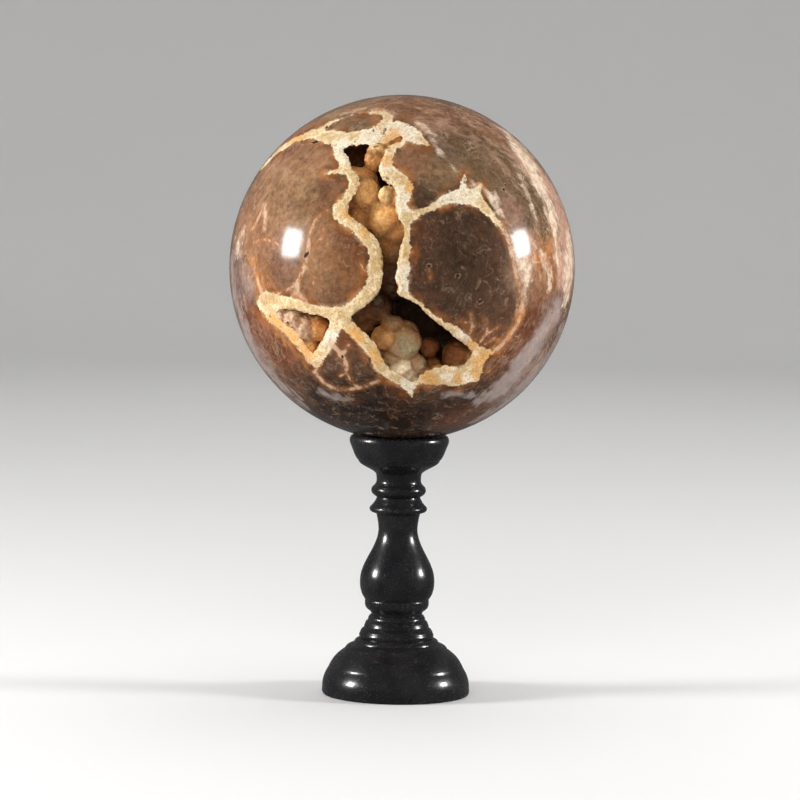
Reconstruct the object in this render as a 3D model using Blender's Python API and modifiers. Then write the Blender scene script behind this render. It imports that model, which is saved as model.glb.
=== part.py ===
"""A polished mineral ball with an open crystal cavity, on a turned wooden stand.

Metres, +Z up. The origin is the centre of the stand's foot, on the surface that it stands on.
The cavity faces -Y. The stand and the ball are two pieces, and the ball only rests in its dish.
"""

import math

import bmesh
import bpy
from mathutils import Matrix, Vector

# The ball. Its cavity is a natural form, so it is drawn in shares of the ball's radius.
BALL_DIAMETER = 0.140
BALL_RADIUS = BALL_DIAMETER / 2
FACE_PITCH = math.radians(2.35)  # the cavity looks this far above the horizon
BALL_SEGMENTS = 48
BALL_RINGS = 24
SEAT_CLEARANCE = 0.0003  # between the ball and the dish that it rests in

# The stand's turnings from the lip down: radii and heights.
LIP_RADIUS = 0.0204
LIP_EDGE = 0.0007  # how far the lip's rounded edge stands out
SEAT_RADIUS = 0.0178  # the dish's radius at the lip
LIP_HEIGHT = 0.0024
BOWL_RADIUS = 0.0172  # where the bowl's side turns under
BOWL_SIDE_HEIGHT = 0.0077
BOWL_UNDER_HEIGHT = 0.0069
NECK_RADIUS = 0.0091
NECK_HEIGHT = 0.0025
UPPER_RING_RADIUS = 0.0112
UPPER_RING_HEIGHT = 0.0048
GROOVE_RADIUS = 0.0089
GROOVE_HEIGHT = 0.0020
LOWER_RING_RADIUS = 0.0119
LOWER_RING_HEIGHT = 0.0056
THROAT_RADIUS = 0.0080
THROAT_HEIGHT = 0.0072
VASE_RADIUS = 0.0153
VASE_SHOULDER_HEIGHT = 0.0205
VASE_BELLY_HEIGHT = 0.0082
COLLAR_RADIUS = 0.0129
COLLAR_HEIGHT = 0.0034
WAIST_RADIUS = 0.0106
WAIST_HEIGHT = 0.0024
BEAD_RADII = (0.0121, 0.0135, 0.0154)
BEAD_HEIGHTS = (0.0027, 0.0030, 0.0046)
LEDGE_RADIUS = 0.0178
LEDGE_HEIGHT = 0.0022
RIM_BEAD_RADIUS = 0.0214
RIM_BEAD_HEIGHT = 0.0031
DOME_RADIUS = 0.0276
DOME_HEIGHT = 0.0077
FOOT_RADIUS = 0.0303
FOOT_HEIGHT = 0.0092
FOOT_TUCK = 0.0005  # the foot draws in by this much where it meets the floor
NOTCH = 0.0005  # depth of the fine lines cut between two turnings
TURNING_STEPS = 32

# The mouths of the cavity in the ball's face: (across, up) in shares of the radius.
MAIN_MOUTH = (
    (-0.345, 0.648), (-0.305, 0.685), (-0.245, 0.680), (-0.190, 0.702), (-0.050, 0.735),
    (-0.010, 0.718), (-0.060, 0.686), (-0.108, 0.660), (-0.122, 0.608), (-0.140, 0.562),
    (-0.120, 0.505), (-0.088, 0.462), (-0.048, 0.440), (-0.030, 0.290), (0.005, 0.235),
    (0.020, 0.195), (-0.020, 0.060), (-0.037, -0.060), (-0.022, -0.100), (-0.032, -0.132),
    (0.015, -0.168), (0.090, -0.200), (0.260, -0.343), (0.408, -0.466), (0.375, -0.530),
    (0.300, -0.556), (0.200, -0.553), (0.120, -0.590), (0.075, -0.640), (-0.072, -0.555),
    (-0.160, -0.395), (-0.230, -0.345), (-0.285, -0.275), (-0.150, -0.165), (-0.115, -0.090),
    (-0.105, 0.030), (-0.130, 0.130), (-0.180, 0.200), (-0.312, 0.292), (-0.300, 0.375),
    (-0.250, 0.430), (-0.243, 0.490), (-0.285, 0.553),
)
SIDE_MOUTH = (
    (-0.715, -0.262), (-0.660, -0.245), (-0.600, -0.238), (-0.530, -0.262), (-0.460, -0.278),
    (-0.390, -0.286), (-0.402, -0.350), (-0.440, -0.415), (-0.480, -0.492), (-0.535, -0.445),
    (-0.600, -0.368), (-0.670, -0.318),
)
MOUTH_DEPTH = 0.10  # how far the mouths go straight in before the hollow widens

# The hollow behind the mouths: (across, up, depth of the centre), then the half sizes.
CHAMBERS = (
    ((-0.200, 0.600, 0.160), (0.150, 0.120, 0.140)),
    ((-0.140, 0.380, 0.230), (0.165, 0.200, 0.160)),
    ((-0.070, 0.050, 0.260), (0.150, 0.260, 0.190)),
    ((0.020, -0.340, 0.270), (0.260, 0.210, 0.200)),
    ((0.230, -0.420, 0.230), (0.180, 0.130, 0.170)),
    ((-0.500, -0.330, 0.130), (0.140, 0.085, 0.110)),
)

# The rounded crystal knobs in the hollow: (across, up, depth of the centre), then the radius.
KNOBS = (
    ((-0.230, 0.420, 0.150), 0.110),
    ((-0.085, 0.388, 0.075), 0.056),
    ((-0.162, 0.620, 0.085), 0.062),
    ((-0.130, 0.690, 0.060), 0.052),
    ((-0.065, 0.715, 0.060), 0.055),
    ((-0.105, 0.245, 0.230), 0.125),
    ((-0.215, 0.255, 0.210), 0.085),
    ((-0.060, 0.090, 0.390), 0.140),
    ((-0.210, -0.250, 0.300), 0.130),
    ((-0.095, -0.362, 0.145), 0.070),
    ((-0.045, -0.330, 0.185), 0.060),
    ((0.018, -0.400, 0.190), 0.099),
    ((0.070, -0.495, 0.150), 0.085),
    ((-0.010, -0.560, 0.095), 0.080),
    ((0.045, -0.600, 0.075), 0.055),
    ((0.000, -0.430, 0.400), 0.190),
    ((0.295, -0.480, 0.250), 0.110),
    ((0.150, -0.430, 0.350), 0.090),
    ((0.230, -0.600, 0.120), 0.070),
    ((0.400, -0.555, 0.120), 0.080),
    ((-0.620, -0.315, 0.100), 0.092),
    ((-0.540, -0.375, 0.105), 0.085),
    ((-0.495, -0.440, 0.085), 0.060),
)
LARGE_FORM = 0.1  # forms over this size get finer facets, if they are near the surface
NEAR_SURFACE = 0.28

# Colours, and roughness beside them
STONE_BROWN = (0.42, 0.25, 0.15, 1.0)
STONE_ROUGHNESS = 0.12
LACQUER_BLACK = (0.012, 0.012, 0.013, 1.0)
LACQUER_ROUGHNESS = 0.3


def clear_scene():
    for item in list(bpy.data.objects):
        bpy.data.objects.remove(item)


def new_collection(name):
    made = bpy.data.collections.new(name)
    bpy.context.scene.collection.children.link(made)
    return made


def new_material(name, colour, roughness):
    made = bpy.data.materials.new(name)
    made.use_nodes = True
    shader = made.node_tree.nodes["Principled BSDF"]
    shader.inputs["Base Color"].default_value = colour
    shader.inputs["Roughness"].default_value = roughness
    shader.inputs["Metallic"].default_value = 0.0
    return made


def add_mesh(name, form, collection):
    """Puts a bmesh into a new object of the collection."""
    mesh = bpy.data.meshes.new(name)
    form.to_mesh(mesh)
    form.free()
    made = bpy.data.objects.new(name, mesh)
    collection.objects.link(made)
    return made


def hide_helper(helper):
    helper.hide_render = True
    helper.display_type = "WIRE"


# Heights that follow from the stack of turnings

TURNING_HEIGHTS = (
    LIP_HEIGHT, BOWL_SIDE_HEIGHT, BOWL_UNDER_HEIGHT, NECK_HEIGHT, UPPER_RING_HEIGHT,
    GROOVE_HEIGHT, LOWER_RING_HEIGHT, THROAT_HEIGHT, VASE_SHOULDER_HEIGHT, VASE_BELLY_HEIGHT,
    COLLAR_HEIGHT, WAIST_HEIGHT, *BEAD_HEIGHTS, LEDGE_HEIGHT, RIM_BEAD_HEIGHT, DOME_HEIGHT,
    FOOT_HEIGHT,
)
STAND_HEIGHT = sum(TURNING_HEIGHTS)
DISH_RADIUS = BALL_RADIUS + SEAT_CLEARANCE
BALL_HEIGHT = STAND_HEIGHT + math.sqrt(DISH_RADIUS**2 - SEAT_RADIUS**2)  # of the ball's centre


# The stand

def arc(start, end, bulge, steps):
    """Points after start up to end on a round arc that bulges by this much to its right."""
    (x0, z0), (x1, z1) = start, end
    chord = math.hypot(x1 - x0, z1 - z0)
    side = ((z0 - z1) / chord, (x1 - x0) / chord)
    points = []
    for step in range(1, steps + 1):
        along = step / steps
        out = bulge * math.sin(math.pi * along)
        points.append((x0 + (x1 - x0) * along + side[0] * out,
                       z0 + (z1 - z0) * along + side[1] * out))
    return points


def ogee(start, end, steps):
    """Points after start up to end on an S curve that leaves and arrives straight down."""
    (x0, z0), (x1, z1) = start, end
    points = []
    for step in range(1, steps + 1):
        along = step / steps
        points.append((x0 + (x1 - x0) * (1 - math.cos(math.pi * along)) / 2,
                       z0 + (z1 - z0) * along))
    return points


def stand_profile():
    """The stand's half outline, from the middle of its dish over the lip and down to the foot."""
    dish = []
    dish_angle = math.asin(SEAT_RADIUS / DISH_RADIUS)
    for step in range(4):
        angle = dish_angle * step / 3
        dish.append((DISH_RADIUS * math.sin(angle), BALL_HEIGHT - DISH_RADIUS * math.cos(angle)))
    outline = dish
    height = STAND_HEIGHT

    def down(by):
        nonlocal height
        height -= by
        return height

    def turn(points):
        outline.extend(points)

    turn(arc(outline[-1], (LIP_RADIUS, down(LIP_HEIGHT)), LIP_EDGE, 3))
    turn(arc(outline[-1], (BOWL_RADIUS, down(BOWL_SIDE_HEIGHT)), LIP_EDGE, 2))
    turn([(BOWL_RADIUS - NOTCH, height)])
    turn(ogee(outline[-1], (NECK_RADIUS, down(BOWL_UNDER_HEIGHT)), 3))
    turn([(NECK_RADIUS, down(NECK_HEIGHT))])
    turn([(UPPER_RING_RADIUS, height - UPPER_RING_HEIGHT * 0.55)])
    turn([(UPPER_RING_RADIUS - NOTCH, height - UPPER_RING_HEIGHT * 0.85)])
    turn([(GROOVE_RADIUS, down(UPPER_RING_HEIGHT))])
    turn([(GROOVE_RADIUS, down(GROOVE_HEIGHT))])
    turn([(LOWER_RING_RADIUS, height - LOWER_RING_HEIGHT * 0.70)])
    turn([(LOWER_RING_RADIUS - NOTCH, height - LOWER_RING_HEIGHT * 0.90)])
    turn([((LOWER_RING_RADIUS + THROAT_RADIUS) / 2 - NOTCH, down(LOWER_RING_HEIGHT))])
    turn(arc(outline[-1], (THROAT_RADIUS, down(THROAT_HEIGHT)), -NOTCH, 2))
    turn(ogee(outline[-1], (VASE_RADIUS, down(VASE_SHOULDER_HEIGHT)), 6))
    turn(arc(outline[-1], (COLLAR_RADIUS - NOTCH, down(VASE_BELLY_HEIGHT)), 2 * NOTCH, 3))
    turn([(COLLAR_RADIUS, height - COLLAR_HEIGHT * 0.3)])
    turn([(COLLAR_RADIUS - NOTCH, down(COLLAR_HEIGHT))])
    turn([(WAIST_RADIUS, down(WAIST_HEIGHT))])
    for radius, bead_height in zip(BEAD_RADII, BEAD_HEIGHTS):
        turn([(radius, height - bead_height * 0.4)])
        turn([(radius - NOTCH, down(bead_height))])
    turn([(LEDGE_RADIUS - NOTCH, height - LEDGE_HEIGHT * 0.4)])
    turn([(LEDGE_RADIUS, down(LEDGE_HEIGHT))])
    turn(arc(outline[-1], (RIM_BEAD_RADIUS, down(RIM_BEAD_HEIGHT)), NOTCH, 2))
    turn(arc(outline[-1], (DOME_RADIUS, down(DOME_HEIGHT)), 2 * NOTCH, 3))
    turn([(DOME_RADIUS + NOTCH / 2, height - NOTCH)])
    turn(arc(outline[-1], (FOOT_RADIUS, height - FOOT_HEIGHT * 0.88), 2 * NOTCH, 3))
    turn([(FOOT_RADIUS - FOOT_TUCK, 0.0)])
    turn([(0.0, 0.0)])
    return outline


def build_stand(collection):
    """The stand is turned from one length of wood, and lacquered black."""
    form = bmesh.new()
    last = None
    for x, z in stand_profile():
        point = form.verts.new((x, 0.0, z))
        if last:
            form.edges.new((last, point))
        last = point
    stand = add_mesh("turned_stand", form, collection)
    screw = stand.modifiers.new("turning", "SCREW")
    screw.steps = TURNING_STEPS
    screw.render_steps = TURNING_STEPS
    screw.use_merge_vertices = True
    screw.merge_threshold = 0.00001
    screw.use_smooth_shade = True
    stand.data.materials.append(new_material("black_lacquer", LACQUER_BLACK, LACQUER_ROUGHNESS))


# The ball and its cavity

def face_frame():
    """From (across, up, out) at the ball's centre to the part's own axes."""
    across = Vector((1.0, 0.0, 0.0))
    up = Vector((0.0, math.sin(FACE_PITCH), math.cos(FACE_PITCH)))
    out = across.cross(up)
    turned = Matrix((across, up, out)).transposed().to_4x4()
    return Matrix.Translation((0.0, 0.0, BALL_HEIGHT)) @ turned


def surface_out(across, up):
    """How far the ball's surface stands out at this place of its face, in shares of the radius."""
    return math.sqrt(max(0.0, 1.0 - across**2 - up**2))


def knob(name, place, sizes, collection):
    """A round form in the ball's face frame, at a depth under the surface."""
    across, up, depth = place
    divisions = 3 if min(sizes) >= LARGE_FORM and depth < NEAR_SURFACE else 2
    form = bmesh.new()
    bmesh.ops.create_icosphere(form, subdivisions=divisions, radius=BALL_RADIUS)
    bmesh.ops.scale(form, vec=sizes, verts=form.verts)
    centre = Vector((across, up, surface_out(across, up) - depth)) * BALL_RADIUS
    bmesh.ops.translate(form, vec=centre, verts=form.verts)
    made = add_mesh(name, form, collection)
    made.matrix_world = face_frame()
    hide_helper(made)
    return made


def mouth_cutter(name, outline, collection):
    """A closed block with the mouth's outline, whose inner end follows the ball's surface."""
    flat = bpy.data.curves.new(name, "CURVE")
    flat.dimensions = "2D"
    flat.fill_mode = "BOTH"
    flat.extrude = BALL_RADIUS
    spline = flat.splines.new("POLY")
    spline.points.add(len(outline) - 1)
    for point, (across, up) in zip(spline.points, outline):
        point.co = (across * BALL_RADIUS, up * BALL_RADIUS, 0.0, 1.0)
    spline.use_cyclic_u = True
    drawn = bpy.data.objects.new(name, flat)
    collection.objects.link(drawn)
    graph = bpy.context.evaluated_depsgraph_get()
    mesh = bpy.data.meshes.new_from_object(drawn.evaluated_get(graph))
    bpy.data.objects.remove(drawn)
    form = bmesh.new()
    form.from_mesh(mesh)
    bpy.data.meshes.remove(mesh)
    bmesh.ops.remove_doubles(form, verts=form.verts, dist=0.00001)
    for vertex in form.verts:
        rise = surface_out(vertex.co.x / BALL_RADIUS, vertex.co.y / BALL_RADIUS)
        if vertex.co.z > 0:
            vertex.co.z = (rise + MOUTH_DEPTH) * BALL_RADIUS
        else:
            vertex.co.z = (rise - 2 * MOUTH_DEPTH) * BALL_RADIUS
    bmesh.ops.recalc_face_normals(form, faces=form.faces)
    made = add_mesh(name, form, collection)
    made.matrix_world = face_frame()
    hide_helper(made)
    return made


def combine(base, operation, others):
    """A Boolean of base with another object, or with all objects of a collection."""
    cut = base.modifiers.new(operation.lower(), "BOOLEAN")
    cut.operation = operation
    cut.solver = "EXACT"
    if isinstance(others, bpy.types.Collection):
        cut.operand_type = "COLLECTION"
        cut.collection = others
    else:
        cut.object = others


def build_ball(collection, helpers):
    """The ball is one stone: cut through rounded nodules, with crystal knobs in the hollow left."""
    form = bmesh.new()
    bmesh.ops.create_uvsphere(
        form, u_segments=BALL_SEGMENTS, v_segments=BALL_RINGS, radius=BALL_RADIUS)
    for face in form.faces:
        face.smooth = True
    ball = add_mesh("mineral_ball", form, collection)
    ball.location = (0.0, 0.0, BALL_HEIGHT)
    ball.data.materials.append(new_material("polished_stone", STONE_BROWN, STONE_ROUGHNESS))

    chambers = bpy.data.collections.new("chambers")
    helpers.children.link(chambers)
    for number, (place, sizes) in enumerate(CHAMBERS):
        knob(f"chamber_{number}", place, sizes, chambers)
    mouth_cutter("side_mouth", SIDE_MOUTH, chambers)

    knobs = bpy.data.collections.new("knobs")
    helpers.children.link(knobs)
    for number, (place, size) in enumerate(KNOBS):
        knob(f"knob_{number}", place, (size, size, size), knobs)

    hollow = mouth_cutter("main_mouth", MAIN_MOUTH, helpers)
    combine(hollow, "UNION", chambers)
    combine(hollow, "DIFFERENCE", knobs)
    combine(ball, "DIFFERENCE", hollow)


clear_scene()
pieces = new_collection("mineral_ball_on_stand")
cutters = new_collection("cutters")
build_stand(pieces)
build_ball(pieces, cutters)
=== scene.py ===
import math
from contextlib import contextmanager

import bmesh
import bpy
import numpy as np
from mathutils import Matrix, Vector, noise
from mathutils.kdtree import KDTree


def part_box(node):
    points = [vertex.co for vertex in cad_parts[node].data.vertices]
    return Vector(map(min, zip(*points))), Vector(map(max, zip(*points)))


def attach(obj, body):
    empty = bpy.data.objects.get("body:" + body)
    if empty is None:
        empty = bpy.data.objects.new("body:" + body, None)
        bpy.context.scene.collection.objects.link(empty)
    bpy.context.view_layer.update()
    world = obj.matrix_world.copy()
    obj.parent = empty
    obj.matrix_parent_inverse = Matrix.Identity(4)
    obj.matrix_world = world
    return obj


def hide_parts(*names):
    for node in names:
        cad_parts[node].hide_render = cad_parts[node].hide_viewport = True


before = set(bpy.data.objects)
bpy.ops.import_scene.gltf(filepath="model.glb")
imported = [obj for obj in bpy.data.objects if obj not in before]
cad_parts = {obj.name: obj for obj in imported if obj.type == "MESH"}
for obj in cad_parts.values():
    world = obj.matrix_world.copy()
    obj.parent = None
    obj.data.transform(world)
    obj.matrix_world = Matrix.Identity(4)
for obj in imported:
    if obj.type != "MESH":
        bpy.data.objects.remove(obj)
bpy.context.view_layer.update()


# The stand. One length of wood, turned on a lathe into a dish, rings, a vase and a stepped foot,
# and sprayed with black gloss lacquer. It stands on its flat underside, and the ball rests in the
# dish by its own weight.

ball_low, ball_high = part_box("mineral_ball")
BALL_RADIUS = (ball_high.x - ball_low.x) / 2
BALL_CENTRE = (ball_low + ball_high) / 2
DISH_GAP = 0.0003  # between the ball and the dish
DISH_RADIUS = BALL_RADIUS + DISH_GAP
DISH_EDGE = 0.0178  # how far from its axis the stand is hollowed

# Each cut of the turning tool, in mm: the radius that it ends at, how far it drops, how far it
# bulges out on the way, and how it runs. All drops are stretched alike to fit the stand's height.
CUTS = (
    (19.8, 0.5, 0.30, "round"), (20.25, 1.8, 0.15, "round"), (19.4, 2.4, 0.10, "round"),
    (18.9, 1.2, 0.05, "round"), (17.2, 3.5, 0.15, "round"), (16.6, 0.5, 0.05, "round"),
    (9.2, 5.9, 0.00, "ogee"), (9.1, 2.6, -0.10, "round"), (10.4, 1.8, -0.20, "round"),
    (11.15, 1.6, 0.20, "round"), (10.6, 1.4, 0.15, "round"), (8.8, 1.3, 0.05, "round"),
    (9.0, 0.6, -0.05, "round"), (11.4, 3.2, -0.20, "round"), (11.65, 1.3, 0.20, "round"),
    (10.4, 0.9, 0.20, "round"), (8.9, 0.6, 0.00, "straight"), (7.95, 5.9, -0.15, "round"),
    (15.2, 20.7, 0.00, "ogee"), (14.4, 5.1, 0.26, "round"), (12.9, 2.4, 0.10, "round"),
    (13.0, 0.9, 0.15, "round"), (12.5, 2.4, 0.25, "round"), (10.9, 1.2, 0.10, "round"),
    (10.3, 1.4, -0.10, "round"), (11.4, 1.0, 0.20, "round"), (11.7, 0.9, 0.10, "round"),
    (11.7, 0.4, -0.10, "round"), (12.9, 1.6, 0.35, "round"), (13.2, 0.9, 0.10, "round"),
    (13.2, 0.4, -0.15, "round"), (14.9, 2.1, 0.35, "round"), (15.0, 1.6, 0.30, "round"),
    (14.9, 0.4, 0.00, "straight"), (16.6, 0.7, 0.10, "round"), (17.3, 1.2, 0.15, "round"),
    (18.3, 0.5, 0.00, "straight"), (21.2, 2.4, 0.50, "round"), (22.1, 0.4, 0.00, "straight"),
    (27.3, 6.0, 0.55, "round"), (27.4, 0.4, -0.15, "round"), (30.1, 9.1, 0.85, "round"),
    (29.95, 0.9, 0.15, "round"),
)
FOOT_EDGE = 0.7  # radius of the foot's lower edge, in mm
FACETS = 160
DISH_STEPS = 14
CUT_STEP = 0.0006  # about how long one step along a cut is
MOST_CUT_STEPS = 16
EDGE_STEPS = 5
SHARP_BEND = math.radians(38)
WEAR = 1.6  # how much of the lacquer is worn for each radian that an edge bends


def tool_path():
    """The stand's half outline as (radius, height), from the dish to the underside."""
    path = []
    for step in range(DISH_STEPS + 1):
        angle = math.asin(DISH_EDGE / DISH_RADIUS) * step / DISH_STEPS
        path.append((DISH_RADIUS * math.sin(angle), BALL_CENTRE.z - DISH_RADIUS * math.cos(angle)))
    left = (path[-1][1] - FOOT_EDGE / 1000) / sum(cut[1] for cut in CUTS)
    for radius, drop, bulge, run in CUTS:
        x0, z0 = path[-1]
        x1, z1 = radius / 1000, z0 - drop * left
        length = math.hypot(x1 - x0, z1 - z0)
        steps = 1 if run == "straight" else max(1, min(MOST_CUT_STEPS, round(length / CUT_STEP)))
        for step in range(1, steps + 1):
            along = step / steps
            if run == "ogee":
                path.append((x0 + (x1 - x0) * (1 - math.cos(math.pi * along)) / 2,
                             z0 + (z1 - z0) * along))
            else:
                out = bulge / 1000 * math.sin(math.pi * along)
                path.append((x0 + (x1 - x0) * along + out * (z0 - z1) / length,
                             z0 + (z1 - z0) * along + out * (x1 - x0) / length))
    x0, z0 = path[-1]
    for step in range(1, EDGE_STEPS + 1):
        turn = math.pi / 2 * step / EDGE_STEPS
        path.append((x0 - z0 * (1 - math.cos(turn)), z0 * (1 - math.sin(turn))))
    path.append((0.0, 0.0))
    return path


def loose_piece(name, form):
    """Makes a finished form an object of the scene."""
    mesh = bpy.data.meshes.new(name)
    form.to_mesh(mesh)
    form.free()
    piece = bpy.data.objects.new(name, mesh)
    bpy.context.collection.objects.link(piece)
    return piece


def turned(name, path, facets):
    """A piece turned round the Z axis from its half outline."""
    form = bmesh.new()
    points = [form.verts.new((x, 0.0, z)) for x, z in path]
    edges = [form.edges.new(pair) for pair in zip(points, points[1:])]
    bmesh.ops.spin(form, geom=points + edges, axis=(0, 0, 1), cent=(0, 0, 0),
                   angle=2 * math.pi, steps=facets, use_merge=True)
    bmesh.ops.remove_doubles(form, verts=form.verts, dist=0.00001)
    bmesh.ops.recalc_face_normals(form, faces=form.faces)
    for face in form.faces:
        face.smooth = True
    for edge in form.edges:
        if edge.is_manifold and edge.calc_face_angle() > SHARP_BEND:
            edge.smooth = False
    return loose_piece(name, form)


def keep(mesh, name, values):
    """Stores one number for each point of the mesh, for its finish to read."""
    held = mesh.attributes.new(name, "FLOAT", "POINT")
    held.data.foreach_set("value", np.asarray(values, np.float32))


def points_of(mesh):
    """The places of all the points, one row each."""
    places = np.empty(len(mesh.vertices) * 3)
    mesh.vertices.foreach_get("co", places)
    return places.reshape(-1, 3)


class Wire:
    """One output of a material's node, so that shader maths reads as a plain expression."""

    def __init__(self, finish, socket):
        self.finish = finish
        self.socket = socket

    def maths(self, operation, *values):
        return self.finish.node("ShaderNodeMath", {"operation": operation},
                                dict(enumerate(values)))

    def __add__(self, other):
        return self.maths("ADD", self, other)

    def __radd__(self, other):
        return self.maths("ADD", other, self)

    def __sub__(self, other):
        return self.maths("SUBTRACT", self, other)

    def __rsub__(self, other):
        return self.maths("SUBTRACT", other, self)

    def __mul__(self, other):
        return self.maths("MULTIPLY", self, other)

    def __rmul__(self, other):
        return self.maths("MULTIPLY", other, self)

    def __abs__(self):
        return self.maths("ABSOLUTE", self)

    def least(self, other):
        return self.maths("MINIMUM", self, other)

    def most(self, other):
        return self.maths("MAXIMUM", self, other)

    def ramp(self, low, high, start=0.0, end=1.0):
        """Goes smoothly from start to end as this value goes from low to high."""
        return self.finish.node(
            "ShaderNodeMapRange", {"interpolation_type": "SMOOTHSTEP"},
            {0: self, 1: low, 2: high, 3: start, 4: end})


class Finish:
    """A material whose nodes are added by one call each."""

    def __init__(self, name, base, roughness):
        self.material = bpy.data.materials.new(name)
        self.material.use_nodes = True
        self.tree = self.material.node_tree
        self.shader = self.tree.nodes["Principled BSDF"]
        self.set("Base Color", (*base, 1.0))
        self.set("Roughness", roughness)
        self.place = self.node("ShaderNodeTexCoord", {}, {}, "Object")

    def node(self, kind, settings, values, output=0):
        made = self.tree.nodes.new(kind)
        for key, value in settings.items():
            setattr(made, key, value)
        for key, value in values.items():
            self.join(made.inputs[key], value)
        return Wire(self, made.outputs[output])

    def join(self, socket, value):
        if isinstance(value, Wire):
            self.tree.links.new(value.socket, socket)
        else:
            socket.default_value = value

    def set(self, socket, value):
        self.join(self.shader.inputs[socket], value)

    def tinted(self, colour, strength):
        """The colour made darker or lighter by this factor."""
        return self.node("ShaderNodeVectorMath", {"operation": "SCALE"},
                         {0: colour, 3: strength})

    def grain(self, size, detail=3.0, rough=0.55, twist=0.0, place=None):
        """Cloudy noise from 0 to 1 whose patches are this many mm across."""
        return self.node("ShaderNodeTexNoise", {},
                         {"Vector": place or self.place, "Scale": 1000 / size, "Detail": detail,
                          "Roughness": rough, "Distortion": twist}, "Fac")

    def wobble(self, reach, *options):
        """The same noise, but round 0 and with this reach."""
        return reach * (self.grain(*options) - 0.5)

    def wandering(self, place, scale, detail, reach):
        """A place pushed about by noise, so that what is drawn by it runs unevenly."""
        push = self.node("ShaderNodeTexNoise", {},
                         {"Vector": self.place, "Scale": scale, "Detail": detail}, "Color")
        return self.node("ShaderNodeVectorMath", {"operation": "MULTIPLY_ADD"},
                         {0: push, 1: (reach, reach, reach), 2: place})

    def cells(self, size, feature="F1", place=None, output="Distance"):
        """Cells like packed grains, this many mm across."""
        return self.node("ShaderNodeTexVoronoi", {"feature": feature},
                         {"Vector": place or self.place, "Scale": 1000 / size}, output)

    def held(self, name, output="Fac"):
        """A value that the mesh keeps for each of its points."""
        return self.node("ShaderNodeAttribute", {"attribute_name": name}, {}, output)

    def blend(self, share, under, over):
        """Colour over laid on colour under by this share."""
        under = under if isinstance(under, Wire) else (*under, 1.0)
        over = over if isinstance(over, Wire) else (*over, 1.0)
        return self.node("ShaderNodeMix", {"data_type": "RGBA"},
                         {0: share, 6: under, 7: over}, 2)

    def relief(self, height, depth, under=None):
        """Turns a height from 0 to 1 into a relief this many mm deep."""
        values = {"Height": height, "Strength": 1.0, "Distance": depth / 1000}
        if under:
            values["Normal"] = under
        return self.node("ShaderNodeBump", {}, values, "Normal")


def lacquer():
    """Black gloss lacquer: orange peel, a little dust, and thin places on worn edges."""
    finish = Finish("black_gloss_lacquer", (0.01, 0.01, 0.01), 0.2)
    peel = finish.grain(2.6, 2.0)
    dust = finish.grain(0.5, 2.0).ramp(0.62, 0.74)
    cloud = finish.grain(11.0, 3.0)
    worn = finish.held("edge") * finish.grain(1.6, 4.0).ramp(0.48, 0.66)
    colour = finish.blend(cloud.ramp(0.35, 0.7), (0.006, 0.006, 0.007), (0.014, 0.013, 0.013))
    colour = finish.blend(worn * 0.25, colour, (0.060, 0.048, 0.040))
    colour = finish.blend(dust * 0.25, colour, (0.10, 0.10, 0.10))
    finish.set("Base Color", colour)
    finish.set("Roughness", 0.17 + 0.12 * cloud + 0.15 * worn + 0.18 * dust)
    finish.set("Specular IOR Level", 0.30)
    finish.set("Coat Roughness", 0.10)
    finish.set("Coat Weight", 0.25)
    bump = finish.relief(peel, 0.05)
    finish.set("Normal", finish.relief(dust, 0.03, bump))
    return finish.material


def mark_wear(mesh, path):
    """Keeps how worn each point is: the more the outline bends outwards there, the more."""
    wear = {}
    for before, here, after in zip(path, path[1:], path[2:]):
        first = math.atan2(here[1] - before[1], here[0] - before[0])
        second = math.atan2(after[1] - here[1], after[0] - here[0])
        bend = (first - second + math.pi) % (2 * math.pi) - math.pi
        wear[(round(here[0], 5), round(here[1], 5))] = min(1.0, max(0.0, bend * WEAR))
    keep(mesh, "edge", [wear.get((round(float(np.hypot(x, y)), 5), round(float(z), 5)), 0.0)
                        for x, y, z in points_of(mesh)])


stand_path = tool_path()
stand = turned("lacquered_stand", stand_path, FACETS)
mark_wear(stand.data, stand_path)
stand.data.materials.append(lacquer())
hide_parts("turned_stand")
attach(stand, "root")


# The ball. One piece of stone: brown rounded nodules, each with a rim of cream crystal, grown
# together with a hollow left between them. It was ground to a ball and polished, which cut the
# nodules and opened the hollow. Inside, the crystal has grown into rounded knobs.

FACE_PITCH = math.radians(2.35)  # how far the face looks up
FACE = (Matrix.Translation(BALL_CENTRE)
        @ Matrix.Rotation(math.pi / 2 - FACE_PITCH, 4, "X")
        @ Matrix.Scale(BALL_RADIUS, 4))

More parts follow.
